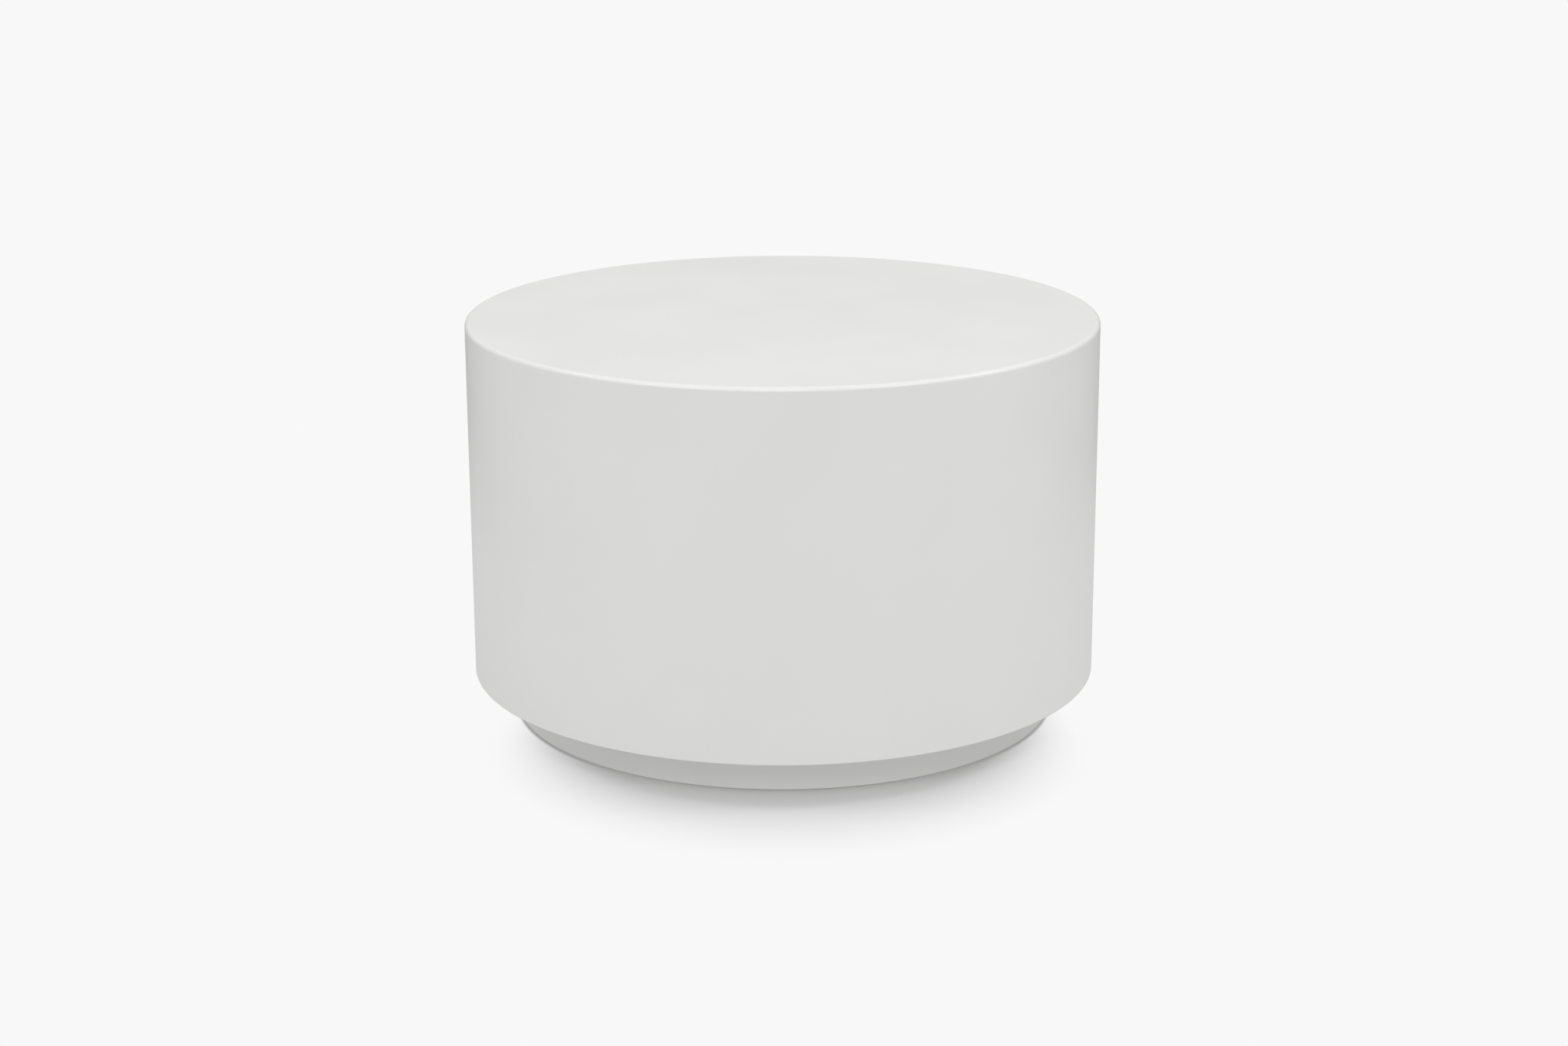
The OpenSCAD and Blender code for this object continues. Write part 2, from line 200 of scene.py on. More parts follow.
# %% What a ray sees
background = (0.939, 0.939, 0.939, 1.0)


def looked_at(tree, path):
    """1 for camera, glossy and transmission rays, which see the backdrop, and 0 for the others."""
    mirrored = maths(tree, "ADD", path["Is Glossy Ray"], path["Is Transmission Ray"])
    return maths(tree, "ADD", path["Is Camera Ray"], mirrored, clamp=True)


def dimmed(tree, path, level):
    """level for glossy rays and 1 for the others."""
    return add(tree, "ShaderNodeMix", {0: path["Is Glossy Ray"], 2: 1.0, 3: level}).outputs[0]


def mixed(tree, share, first, second):
    """The shader node first where share is 0, and second where it is 1."""
    return add(tree, "ShaderNodeMixShader", {0: share, 1: first.outputs[0], 2: second.outputs[0]})


# %% [markdown]
# The matt patch has the shape of the photograph's shadow: two discs overlap, one before and one
# behind the table's middle, and each fades out softly from its own centre. Its tone is darker
# than the background's, so the patch is a painted shadow besides the real shadow it catches. The
# same pattern serves both, because the coordinates are folded at the middle first. Under the
# plinth the floor is matt throughout, which keeps the gap there dark. The numbers are metres,
# except for tones and levels, which are shares of white.

# %% The matt patch
material, tree, shader, output = new_material("studio_floor")
tree.nodes.remove(shader)
path = add(tree, "ShaderNodeLightPath").outputs
# The patch's tone is darker than the background: painted shadow on top of the real shadow it catches.
painted_shadow_tone = 0.76
shadow_forward, shadow_aside = 0.139, 0.005
shadow_in, shadow_out = 0.160, 0.289
contact_in, contact_out = 0.2586, 0.2629
from_axis = length_of(tree, place(tree))
centred = vector_maths(tree, "SUBTRACT", place(tree), (shadow_aside, 0.0, 0.0))
folded = vector_maths(tree, "ABSOLUTE", centred)
from_shadow = length_of(tree, vector_maths(tree, "SUBTRACT", folded, (0.0, shadow_forward, 0.0)))
open_floor = maths(tree, "MULTIPLY", ramp(tree, from_shadow, shadow_in, shadow_out),
                   ramp(tree, from_axis, contact_in, contact_out))
matt = add(tree, "ShaderNodeBsdfDiffuse", {"Color": (painted_shadow_tone,) * 3 + (1.0,)})
print("the patch fades out from", shadow_in, "to", shadow_out, "m round its centres")

# %% The plain floor, its bounce and its back
gloss_in, gloss_out, gloss_near, gloss_far = 0.60, 1.40, 0.68, 0.35
mirrored = ramp(tree, from_axis, gloss_in, gloss_out, gloss_near, gloss_far)
plain = add(tree, "ShaderNodeEmission", {
    "Color": background, "Strength": dimmed(tree, path, mirrored)})
seen = mixed(tree, open_floor, matt, plain)
bounce_in, bounce_out, bounce_near, bounce_far = 0.20, 0.42, 0.43, 0.68
glow = add(tree, "ShaderNodeEmission", {
    "Strength": ramp(tree, from_axis, bounce_in, bounce_out, bounce_near, bounce_far)})
from_above = mixed(tree, looked_at(tree, path), glow, seen)
through = add(tree, "ShaderNodeBsdfTransparent")
backfacing = add(tree, "ShaderNodeNewGeometry").outputs["Backfacing"]
both = mixed(tree, backfacing, from_above, through)
tree.links.new(both.outputs[0], output.inputs["Surface"])
floor.data.materials.append(material)
print("floor material:", len(tree.nodes), "nodes")

# %% [markdown]
# ## Light
# The levels were found by rendering the table once for each source and weighing those pictures
# against the photograph. Most light is an even fill from the whole room, stronger from above.
# Three round soft boxes, one in front and one on each side, lift the front of the top and
# draw the bright line along the rim; the right one is the stronger. Two more between them only
# show in reflections, so they carry that line on from box to box and add no light.

# %% World
side_light, top_light = 0.712, 0.45
low_gloss, high_gloss, gloss_rise = 0.38, 0.72, 0.5
world = bpy.data.worlds.new("studio")
scene.world = world
world.use_nodes = True
tree = world.node_tree
tree.nodes.clear()
direction = add(tree, "ShaderNodeTexCoord").outputs["Generated"]
up = add(tree, "ShaderNodeSeparateXYZ", {0: direction}).outputs["Z"]
path = add(tree, "ShaderNodeLightPath").outputs
rise = maths(tree, "MULTIPLY", maths(tree, "MAXIMUM", up, 0.0), top_light)
fill = add(tree, "ShaderNodeBackground", {"Strength": maths(tree, "ADD", rise, side_light)})
mirrored = ramp(tree, up, 0.0, gloss_rise, low_gloss, high_gloss)
plain = add(tree, "ShaderNodeBackground", {
    "Color": background, "Strength": dimmed(tree, path, mirrored)})
sky = mixed(tree, looked_at(tree, path), fill, plain)
tree.links.new(sky.outputs[0], add(tree, "ShaderNodeOutputWorld").inputs["Surface"])
print("room light:", side_light, "from the sides,", round(side_light + top_light, 3), "from above")

# %% Soft boxes
def soft_box(name, place_at, aim_at, size, watts):
    """A disc lamp of that diameter at place_at, facing aim_at, that the camera doesn't see."""
    lamp = bpy.data.lights.new(name, "AREA")
    lamp.shape = "DISK"
    lamp.size = size
    lamp.energy = watts
    piece = bpy.data.objects.new(name, lamp)
    scene.collection.objects.link(piece)
    piece.location = place_at
    piece.rotation_euler = (piece.location - aim_at).to_track_quat("Z", "Y").to_euler()
    piece.visible_camera = False
    return piece


top_middle = Vector((0, 0, cad_box[1][2]))
boxes = [
    soft_box("front_box", (0.0, -2.8, 2.4), top_middle, 1.4, 20.8),
    soft_box("left_box", (-2.4, -0.1, 2.6), top_middle, 1.0, 10.1),
    soft_box("right_box", (2.4, -0.1, 2.6), top_middle, 1.0, 13.2),
    soft_box("rim_box_left", (-2.0, -2.1, 2.5), top_middle, 1.8, 23.0),
    soft_box("rim_box_right", (2.0, -2.1, 2.5), top_middle, 1.8, 25.0),
]
for rim_box in boxes[-2:]:
    rim_box.visible_diffuse = False
print("lamps, in watts:", {box.name: round(box.data.energy, 1) for box in boxes})

# %% [markdown]
# ## Effects that several finishes share
# A sprayed film, pressed fibres, sawn wood and a plated metal each turn up in more than one
# material. Each is a node group that is built once and gives only masks and heights; the material
# that uses it decides the colours, the gloss and how deep the bumps are.

# %% Groups and mixes
def new_group(name, inputs, outputs):
    """An empty node group with those sockets, its inputs to read and its outputs to fill."""
    group = bpy.data.node_groups.new(name, "ShaderNodeTree")
    for label, value in inputs.items():
        kind = "NodeSocketVector" if value is None else "NodeSocketFloat"
        socket = group.interface.new_socket(label, in_out="INPUT", socket_type=kind)
        if value is not None:
            socket.default_value = value
    for label in outputs:
        group.interface.new_socket(label, in_out="OUTPUT", socket_type="NodeSocketFloat")
    return group, group.nodes.new("NodeGroupInput").outputs, group.nodes.new("NodeGroupOutput").inputs


def noise(tree, where, size, detail=2.0, roughness=0.5):
    """Smooth 3-D noise around 0.5 whose lumps are about size metres across."""
    scale = maths(tree, "DIVIDE", 1.0, size)
    return add(tree, "ShaderNodeTexNoise", {
        "Vector": where, "Scale": scale, "Detail": detail, "Roughness": roughness}).outputs["Fac"]


def two_tone(tree, factor, low, high):
    """A colour between low and high."""
    mix = add(tree, "ShaderNodeMix", {0: factor}, data_type="RGBA")
    plug(tree, mix.inputs[6], (*low, 1.0))
    plug(tree, mix.inputs[7], (*high, 1.0))
    return mix.outputs[2]


def over_paint(tree, factor, colour, spot):
    """colour with another laid over it where factor is 1."""
    mix = add(tree, "ShaderNodeMix", {0: factor, 6: colour}, data_type="RGBA")
    plug(tree, mix.inputs[7], (*spot, 1.0))
    return mix.outputs[2]


def bump(tree, height, depth):
    """A surface normal tilted by a height of that depth in metres."""
    return add(tree, "ShaderNodeBump", {
        "Height": height, "Distance": depth, "Strength": 1.0}).outputs["Normal"]


def effect(tree, group, values=None):
    """The outputs of a group set in a material, with those values on its inputs."""
    return add(tree, "ShaderNodeGroup", {"Place": place(tree), **(values or {})},
               node_tree=group).outputs


def coat(tree, shader, colour, roughness, normal):
    """Plugs the three things that vary over every finish into its shader."""
    for label, value in (("Base Color", colour), ("Roughness", roughness), ("Normal", normal)):
        plug(tree, shader.inputs[label], value)


# %% [markdown]
# A sprayed film levels out but never quite flat. It keeps a fine ripple, called orange peel, a
# slow drift in thickness that shows in the gloss, and now and then a grain of dust. Two noises
# of different size give the first two. The dust is a cell pattern: only cells whose own random
# number is low get a grain, and the grain is the small disc round the cell's point.

# %% Sprayed film
sprayed, given, result = new_group(
    "sprayed_film", {"Place": None, "Peel Size": 0.0022, "Drift Size": 0.09, "Dust Spacing": 0.05,
                     "Dust Size": 0.0005, "Dust Share": 0.5},
    ["Peel", "Drift", "Dust"])
peel = noise(sprayed, given["Place"], given["Peel Size"], detail=1.0)
plug(sprayed, result["Peel"], peel)
drift = noise(sprayed, given["Place"], given["Drift Size"])
plug(sprayed, result["Drift"], ramp(sprayed, drift, 0.3, 0.7))
cell = add(sprayed, "ShaderNodeTexVoronoi", {
    "Vector": given["Place"], "Scale": maths(sprayed, "DIVIDE", 1.0, given["Dust Spacing"])})
cell_random = add(sprayed, "ShaderNodeSeparateColor", {0: cell.outputs["Color"]}).outputs[0]
chosen = maths(sprayed, "LESS_THAN", cell_random, given["Dust Share"])
reach = maths(sprayed, "DIVIDE", given["Dust Size"], given["Dust Spacing"])
from_grain = maths(sprayed, "DIVIDE", cell.outputs["Distance"], reach)
grain_disc = ramp(sprayed, from_grain, 0.4, 1.0, 1.0, 0.0)
plug(sprayed, result["Dust"], maths(sprayed, "MULTIPLY", chosen, grain_disc))
print("sprayed film:", len(sprayed.nodes), "nodes")

# %% [markdown]
# Fibreboard is wood ground to fibres and pressed flat. Close up it is a felt of short pale and
# dark strands with a few coarse bundles. Noise squeezed across the board's thickness gives the
# flat-lying strands, and its sharp peaks give the bundles.

# %% Pressed fibres
pressed, given, result = new_group(
    "pressed_fibres", {"Place": None, "Fibre Size": 0.0012, "Flatness": 2.5, "Cloud Size": 0.05},
    ["Tone", "Bundles"])
lying = add(pressed, "ShaderNodeCombineXYZ", {0: 1.0, 1: 1.0, 2: given["Flatness"]}).outputs[0]
flattened = vector_maths(pressed, "MULTIPLY", given["Place"], lying)
felt = noise(pressed, flattened, given["Fibre Size"], detail=4.0, roughness=0.65)
cloud = noise(pressed, given["Place"], given["Cloud Size"])
felt_share, cloud_share = 0.7, 0.3
tone = maths(pressed, "ADD", maths(pressed, "MULTIPLY", felt, felt_share),
             maths(pressed, "MULTIPLY", cloud, cloud_share))
plug(pressed, result["Tone"], ramp(pressed, tone, 0.36, 0.64))
plug(pressed, result["Bundles"], ramp(pressed, felt, 0.60, 0.70))
print("pressed fibres:", len(pressed.nodes), "nodes")

# %% [markdown]
# Sawn wood shows growth rings where the saw cuts the layers of the trunk, and fine fibres along
# the grain. The rings are the distance from a far-off pith, here the table's axis, bent by slow
# noise and folded into a saw tooth: pale early wood that darkens to a sharp late-wood line. The
# fibres are noise drawn out along the grain, which runs upright in the studs and the dowels.

# %% Sawn wood
sawn, given, result = new_group(
    "sawn_wood", {"Place": None, "Ring Spacing": 0.0035, "Ring Bend": 0.012, "Fibre Size": 0.0006,
                  "Grain Stretch": 0.06},
    ["Rings", "Fibres"])
along = add(sawn, "ShaderNodeCombineXYZ", {0: 1.0, 1: 1.0, 2: given["Grain Stretch"]}).outputs[0]
drawn_out = vector_maths(sawn, "MULTIPLY", given["Place"], along)
sway_size = 0.03
sway = maths(sawn, "SUBTRACT", noise(sawn, drawn_out, sway_size), 0.5)
bend = maths(sawn, "MULTIPLY", sway, given["Ring Bend"])
from_pith = maths(sawn, "ADD", length_of(sawn, drawn_out), bend)
year = maths(sawn, "FRACT", maths(sawn, "DIVIDE", from_pith, given["Ring Spacing"]))
darkening = ramp(sawn, year, 0.25, 0.93)
next_spring = ramp(sawn, year, 0.96, 1.0, 1.0, 0.0)
plug(sawn, result["Rings"], maths(sawn, "MULTIPLY", darkening, next_spring))
fibres = noise(sawn, drawn_out, given["Fibre Size"], detail=3.0)
plug(sawn, result["Fibres"], ramp(sawn, fibres, 0.35, 0.65))
print("sawn wood:", len(sawn.nodes), "nodes")

# %% [markdown]
# Zinc plate on a screw is a thin bright film: cloudy where it is thicker, with short fine lines
# left by the die or the cutting tool that run round the part. The group gives the clouds and the
# lines; how blue, how yellow and how glossy the metal is stays in each material.

# %% Plated metal
plated, given, result = new_group(
    "plated_metal", {"Place": None, "Cloud Size": 0.004, "Line Size": 0.00025}, ["Clouds", "Lines"])
clouds = noise(plated, given["Place"], given["Cloud Size"], detail=3.0)
plug(plated, result["Clouds"], ramp(plated, clouds, 0.35, 0.65))
round_the_part = (0.12, 0.12, 1.0)
around = vector_maths(plated, "MULTIPLY", given["Place"], round_the_part)
plug(plated, result["Lines"], noise(plated, around, given["Line Size"]))
print("plated metal:", len(plated.nodes), "nodes")

# %% [markdown]
# ## The finishes
# One material for each thing the maker buys or sprays. All of them read Object coordinates, so a
# pattern runs on from one board to the next as a sprayed film does, and stays put when the
# camera moves.
#
# The lacquer is a satin white with a trace of warmth. Its colour hardly varies; the ripple in its
# reflections and the drift in its gloss are what tell a sprayed board from plastic.

# %% White lacquer
white_low, white_high = (0.822, 0.824, 0.813), (0.834, 0.835, 0.826)
dust_grey = (0.60, 0.60, 0.58)
glossier, duller = 0.280, 0.305
peel_deep, grain_tall = 0.000012, 4.0
lacquer, tree, shader, output = new_material("white_lacquer")
film = effect(tree, sprayed)
paint = two_tone(tree, film["Drift"], white_low, white_high)
relief = maths(tree, "ADD", film["Peel"], maths(tree, "MULTIPLY", film["Dust"], grain_tall))
coat(tree, shader, over_paint(tree, film["Dust"], paint, dust_grey),
     ramp(tree, film["Drift"], 0.0, 1.0, glossier, duller), bump(tree, relief, peel_deep))
print("lacquer roughness", glossier, "to", duller, "relief", peel_deep, "m")

# %% [markdown]
# The drum's rings are raw fibreboard, and the kerfed board is a paler and finer bending board.
# Both are the same felt in other tones, so one function makes both.

# %% Boards: raw fibreboard and bending board
def board_material(name, pale, dark, bundle, fibre_size, flatness):
    """A matt pressed board between two tones, with coarse bundles of another."""
    made, tree, shader, output = new_material(name)
    board = effect(tree, pressed, {"Fibre Size": fibre_size, "Flatness": flatness})
    tone = two_tone(tree, board["Tone"], dark, pale)
    roughest, smoothest, fibre_deep = 0.88, 0.78, 0.00008
    coat(tree, shader, over_paint(tree, board["Bundles"], tone, bundle),
         ramp(tree, board["Tone"], 0.0, 1.0, roughest, smoothest),
         bump(tree, board["Tone"], fibre_deep))
    return made


raw_mdf = board_material(
    "raw_mdf", (0.60, 0.46, 0.31), (0.50, 0.375, 0.245), (0.42, 0.30, 0.19), 0.0012, 2.5)
bending_board = board_material(
    "bending_board", (0.63, 0.49, 0.33), (0.54, 0.41, 0.27), (0.45, 0.33, 0.21), 0.0009, 1.0)

# %% [markdown]
# The studs are pine, with wide rings that end in a dark line. The dowels are beech, denser and
# pinker, with narrow rings that hardly show. Late wood planes smoother, so it is glossier.

# %% Wood: pine studs and beech dowels
def wood_material(name, early, late, fibre, ring_spacing, ring_bend, roughness):
    """Planed wood: early wood darkening to late wood in each ring, streaked by fibres."""
    made, tree, shader, output = new_material(name)
    wood = effect(tree, sawn, {"Ring Spacing": ring_spacing, "Ring Bend": ring_bend})
    streak_share, late_gloss, fibre_deep = 0.35, 0.12, 0.00004
    ringed = two_tone(tree, wood["Rings"], early, late)
    streak = maths(tree, "MULTIPLY", wood["Fibres"], streak_share)
    coat(tree, shader, over_paint(tree, streak, ringed, fibre),
         ramp(tree, wood["Rings"], 0.0, 1.0, roughness, roughness - late_gloss),
         bump(tree, wood["Fibres"], fibre_deep))
    return made


pine = wood_material(
    "pine", (0.76, 0.58, 0.36), (0.56, 0.34, 0.16), (0.66, 0.47, 0.27), 0.0036, 0.022, 0.68)
beech = wood_material(
    "beech", (0.64, 0.42, 0.26), (0.56, 0.35, 0.20), (0.47, 0.28, 0.16), 0.0016, 0.006, 0.55)

# %% [markdown]
# Zinc plate is a cool bright grey, and the inserts are yellower. A metal shows only what it
# mirrors, tinted by its own tone, so Metallic is 1 and the tones go into Base Color.

# %% Metals: zinc plate, yellow insert metal
def metal_material(name, thin, thick, smooth, rough):
    """Plated metal between two tones, duller where the plate is cloudy."""
    made, tree, shader, output = new_material(name)
    shader.inputs["Metallic"].default_value = 1.0
    plate = effect(tree, plated)
    line_deep = 0.00001
    coat(tree, shader, two_tone(tree, plate["Clouds"], thin, thick),
         ramp(tree, plate["Clouds"], 0.0, 1.0, smooth, rough), bump(tree, plate["Lines"], line_deep))
    return made


zinc_steel = metal_material("zinc_steel", (0.60, 0.62, 0.65), (0.70, 0.71, 0.71), 0.28, 0.38)
insert_metal = metal_material("insert_metal", (0.70, 0.60, 0.36), (0.62, 0.52, 0.30), 0.30, 0.42)

# %% [markdown]
# The pads are black nylon with the fine grain of their mould. The sprayed film's group serves
# again, with a finer ripple and no dust.

# %% Nylon
blackest, palest = (0.022, 0.022, 0.024), (0.034, 0.034, 0.036)
polished, grained, grain_deep = 0.46, 0.58, 0.00003
nylon, tree, shader, output = new_material("nylon")
grain = effect(tree, sprayed, {"Peel Size": 0.0006, "Drift Size": 0.012, "Dust Share": 0.0})
coat(tree, shader, two_tone(tree, grain["Drift"], blackest, palest),
     ramp(tree, grain["Peel"], 0.3, 0.7, polished, grained), bump(tree, grain["Peel"], grain_deep))

# %% Finish for every CAD node
finishes = {
    "lacquer": lacquer, "raw_mdf": raw_mdf, "bending_board": bending_board, "pine": pine,
    "beech": beech, "zinc_steel": zinc_steel, "insert_metal": insert_metal, "nylon": nylon}
slot_of = {part["node"]: part["material_slot"] for part in frame["record"]["subparts"]}
for name, node in nodes.items():
    for index in range(len(node.data.materials)):
        node.data.materials[index] = finishes[slot_of[name]]
print("finishes:", sorted(finishes))

# %% [markdown]
# ## Small turned and threaded parts
# The CAD part holds its screws, bolts, dowels, inserts and feet at their true outline, with their
# recesses, sockets and chamfers, but with no thread, knurl, flute or rib. Here each one gets
# those, cut out of the CAD solid with nothing put on, so whatever fits in the model still fits.
# Only the crosses and hexagons keep a turn of their own, because every screw stops where it bites.
#
# Every such part is a stack of rings that runs from the middle of one end to the middle of the
# other, or back to its own start if the part is a tube. A ring is a radius and a height, and both
# may change round the turn. That is enough for hexagons, crosses, knurls and flutes. A thread is
# the same stack with every ring climbing one pitch in a turn, so its last column lands on the
# first column of a ring further up, and the seam closes by itself when close points are merged.
# A Screw modifier would turn a profile too, but it can't mix round parts with a hexagon or a
# cross, and it leaves a thread open at both ends.

# %% Rings
mm = 0.001


def turn_of(sides):
    """The angles of the columns of one turn; the last column lies on the first."""
    return np.linspace(0, 2 * np.pi, sides + 1)


def ring_stack(rings, angle):
    """A grid with one row a ring: (r cos a, r sin a, z), with r and z numbers or one a column."""
    flat = np.ones_like(angle)
    radius = np.stack([r * flat for r, z in rings])
    height = np.stack([z * flat for r, z in rings])
    return np.stack([radius * np.cos(angle), radius * np.sin(angle), height], -1)


def grid_faces(rows, columns):
    """The four corners of every cell of a grid of points."""
    corner = np.arange(rows * columns).reshape(rows, columns)
    cells = np.stack([corner[:-1, :-1], corner[:-1, 1:], corner[1:, 1:], corner[1:, :-1]], -1)
    return cells.reshape(-1, 4)


def polygon_radius(angle, corners, across_flats):
    """Radius of a regular polygon: half of across_flats over cos b, b from a side's middle."""
    share = np.pi / corners
    return across_flats / 2 / np.cos(angle % (2 * share) - share)


def cross_radius(angle, reach):
    """Radius of a cross with four arms, each w = reach tan 11.25 degrees wide to either side.

    At an angle b from the nearest arm it is the nearer of reach / cos b, the arm's end, and
    w / sin b, the arm's side.
    """
    b = np.abs((angle + np.pi / 4) % (np.pi / 2) - np.pi / 4)
    half_width = reach * np.tan(np.pi / 16)
    return np.minimum(reach / np.cos(b), half_width / np.maximum(np.sin(b), 1e-6))


def thread(angle, start, end, pitch, core, crest, profile, before, fade_out):
    """Rings of a thread from height start to end.

    A ring at place p of the profile (0 to 1 within a pitch) has the height
    start + pitch (p + n + a / 360 degrees - 1) in turn n, held between start and end, and the
    radius core + depth share f, where f grows from 0 over the first pitch and dies out over
    fade_out. At its start the thread grows out of a plain part of the radius before.
    """
    turns = math.ceil((end - start) / pitch) + 2
    spot, share = np.array(profile).T
    along = (np.arange(turns)[:, None] + spot).ravel()[:, None]
    share = np.tile(share, turns)[:, None]
    height = np.clip(start + pitch * (along + angle / (2 * np.pi) - 1), start, end)
    grown = np.clip((height - start) / pitch, 0, 1)
    left = np.clip((end - height) / fade_out, 0, 1)
    radius = core + (before - core) * (1 - grown) + (crest - core) * share * grown * left
    return list(zip(radius, height))


def chamfered(rings, end_r, end):
    """Rings cut off by the cone of a 45 degree chamfer: r is at most end_r + end - z."""
    return [(np.minimum(r, end_r + end - z), z) for r, z in rings]


def knurled(angle, crest, root):
    """A radius that alternates between crest and root from column to column."""
    return np.where(np.arange(len(angle)) % 2 == 0, crest, root)


# %% Putting parts in place
def cad_points(node):
    """The points of a CAD node as an array, in metres."""
    points = np.empty(len(nodes[node].data.vertices) * 3, np.float32)
    nodes[node].data.vertices.foreach_get("co", points)
    return points.reshape(-1, 3).astype(float)


def radii_of(node):
    """The smallest and the largest distance of a node's points from the axis, in millimetres."""
    distance = np.hypot(*cad_points(node)[:, :2].T) / mm
    return distance.min(), distance.max()


def heights_of(node):
    """The lowest and the highest point of a node, in millimetres."""
    low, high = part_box(node)
    return low.z / mm, high.z / mm


def upright_length(node):
    """The difference of the two heights of a node, in millimetres."""
    low, high = heights_of(node)
    return high - low


def solids_of(node, count, first=0.0):
    """The box of each of a node's count equal solids, which stand evenly round the table.

    The angle first, in radians, is that of one of them.
    """
    points = cad_points(node)
    turn = np.arctan2(points[:, 1], points[:, 0]) - first
    owner = np.round(turn / (2 * np.pi / count)).astype(int) % count
    return np.array([[points[owner == k].min(0), points[owner == k].max(0)] for k in range(count)])


def circle_of(node, count, first=0.0):
    """The distance of a node's equal solids from the table's axis, in millimetres."""
    return np.hypot(*solids_of(node, count, first).mean(1)[0, :2]) / mm


tip_up = np.eye(3)
tip_down = np.diag([1.0, -1.0, -1.0])


def spin(angle):
    """The matrix of a turn round Z."""
    return np.array(Matrix.Rotation(angle, 3, "Z"))


def placed(points, pose, spot):
    """Points in millimetres set down in metres: mm * pose p + spot."""
    return mm * points @ pose.T + spot


def ends_of(node, count, first, tips):
    """Where the head faces of a node's upright parts are: the lower end if their tips are up."""
    solids = solids_of(node, count, first)
    spots = solids.mean(1)
    spots[:, 2] = solids[:, 0 if tips is tip_up else 1, 2]
    return spots


# %% Pieces from ring grids
stop_turn = 2.4
crease = math.radians(35)


def make_piece(name, surfaces, slot_name, cad_node, body="table"):
    """One mesh of several ring grids, in the finish of a slot, that stands for a CAD node."""
    sizes = [surface.shape[0] * surface.shape[1] for surface in surfaces]
    starts = np.cumsum([0] + sizes[:-1])
    points = np.concatenate([surface.reshape(-1, 3) for surface in surfaces])
    faces = np.concatenate([
        grid_faces(*surface.shape[:2]) + start for surface, start in zip(surfaces, starts)])
    piece = grid_mesh(name, points, faces)
    cells = bmesh.new()
    cells.from_mesh(piece.data)
    bmesh.ops.remove_doubles(cells, verts=cells.verts, dist=1e-6)
    bmesh.ops.dissolve_degenerate(cells, edges=cells.edges, dist=1e-6)
    bmesh.ops.recalc_face_normals(cells, faces=cells.faces)
    open_edges = sum(not edge.is_manifold for edge in cells.edges)
    cells.to_mesh(piece.data)
    cells.free()
    piece.data.shade_smooth()
    piece.data.set_sharp_from_angle(angle=crease)
    piece.data.materials.append(finishes[slot_name])
    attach(piece, body)
    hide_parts(cad_node)
    triangles = sum(len(face.vertices) - 2 for face in piece.data.polygons)
    print(f"{name}: {len(surfaces)} surfaces, {triangles} triangles, {open_edges} open edges")


def fasten(node, points, count, slot_name, first=0.0, tips=tip_up):
    """A part in the place of each of a node's upright solids, in one piece.

    Copy k has turned by k stop_turn (in radians) more than the first, because every screw stops
    where it bites.
    """
    spots = ends_of(node, count, first, tips)
    copies = [placed(points, tips @ spin(stop_turn * k), spot) for k, spot in enumerate(spots)]
    make_piece(node + "_cut", copies, slot_name, node)


# %% [markdown]
# ### Wood screws
# The boards are drawn together with 4 mm chipboard screws: a flat countersunk head with a cross
# recess, a smooth neck, and a coarse sharp thread whose flanks are steep behind and shallow in
# front, down to a point. The recess is one ring pair: a cross at the face and a smaller one below.
# The crest of the thread stays inside the CAD's outline by a little play, as do the dowels and
# the pads further down.

# %% Wood screw
screw_r, screw_head_r, screw_point, screw_pitch, play = 2.0, 4.0, 6.0, 1.8, 0.02
recess_reach, recess_floor, recess_deep, recess_edge = 2.3, 0.9, 2.3, 0.08
wood_profile = [(0.0, 0.0), (0.6, 0.0), (0.8, 1.0)]


def wood_screw(length, smooth):
    """Rings of a screw with its face at 0 and its point at length, smooth down to smooth.

    The point is the thread of the last stretch, scaled by 1 - taper (z - z0) / screw_point.
    """
    angle = turn_of(32)
    neck, core, crest, taper = 1.45, 1.25, screw_r - play, 0.8
    cross = cross_radius(angle, recess_reach)
    rings = [
        (0.0, recess_deep + 0.3), (cross_radius(angle, recess_floor), recess_deep),
        (cross, recess_edge), (cross + recess_edge, 0.0),
        (screw_head_r - 0.2, 0.0), (screw_head_r - 0.12, 0.1), (neck + 0.12, 2.3), (neck, 2.6)]
    turned = thread(angle, smooth, length, screw_pitch, core, crest, wood_profile, neck, fade_out=2.0)
    point_start = length - screw_point
    pointed = [
        (r * (1 - taper * np.clip((z - point_start) / screw_point, 0, 1)), z) for r, z in turned]
    return ring_stack(rings + pointed + [(0.0, length)], angle)


# %% Upright screws, over the studs or half-way between two
screws = 8
half_step = math.pi / screws
smooth_in_stud, smooth_in_panel = 0.4, 0.3
for node, tips, first, smooth_share in (
        ("stud_screws_top", tip_down, 0.0, smooth_in_stud),
        ("stud_screws_bottom", tip_up, 0.0, smooth_in_stud),
        ("top_panel_screws", tip_up, half_step, smooth_in_panel),
        ("bottom_panel_screws", tip_up, half_step, smooth_in_panel)):
    length = upright_length(node)
    fasten(node, wood_screw(length, smooth_share * length), screws, "zinc_steel", first, tips)

# %% Middle ring screws, which lie level and point at the axis
point_r, edge_r = radii_of("middle_ring_screws")
face_r = math.sqrt(edge_r ** 2 - screw_head_r ** 2)
level = sum(heights_of("middle_ring_screws")) / 2
head_spot = mm * np.array([face_r, 0.0, level])
inward = np.array([[0.0, 0.0, -1.0], [0.0, 1.0, 0.0], [1.0, 0.0, 0.0]])
length = face_r - point_r
screw = wood_screw(length, smooth_in_stud * length)
level_screws = []
for k in range(screws):
    to_stud = spin(2 * half_step * k)
    level_screws.append(placed(screw, to_stud @ inward @ spin(stop_turn * k), to_stud @ head_spot))
make_piece("middle_ring_screws_cut", level_screws, "zinc_steel", "middle_ring_screws")
print("middle ring screws: face at", round(face_r, 2), "level", round(level, 2), "mm")

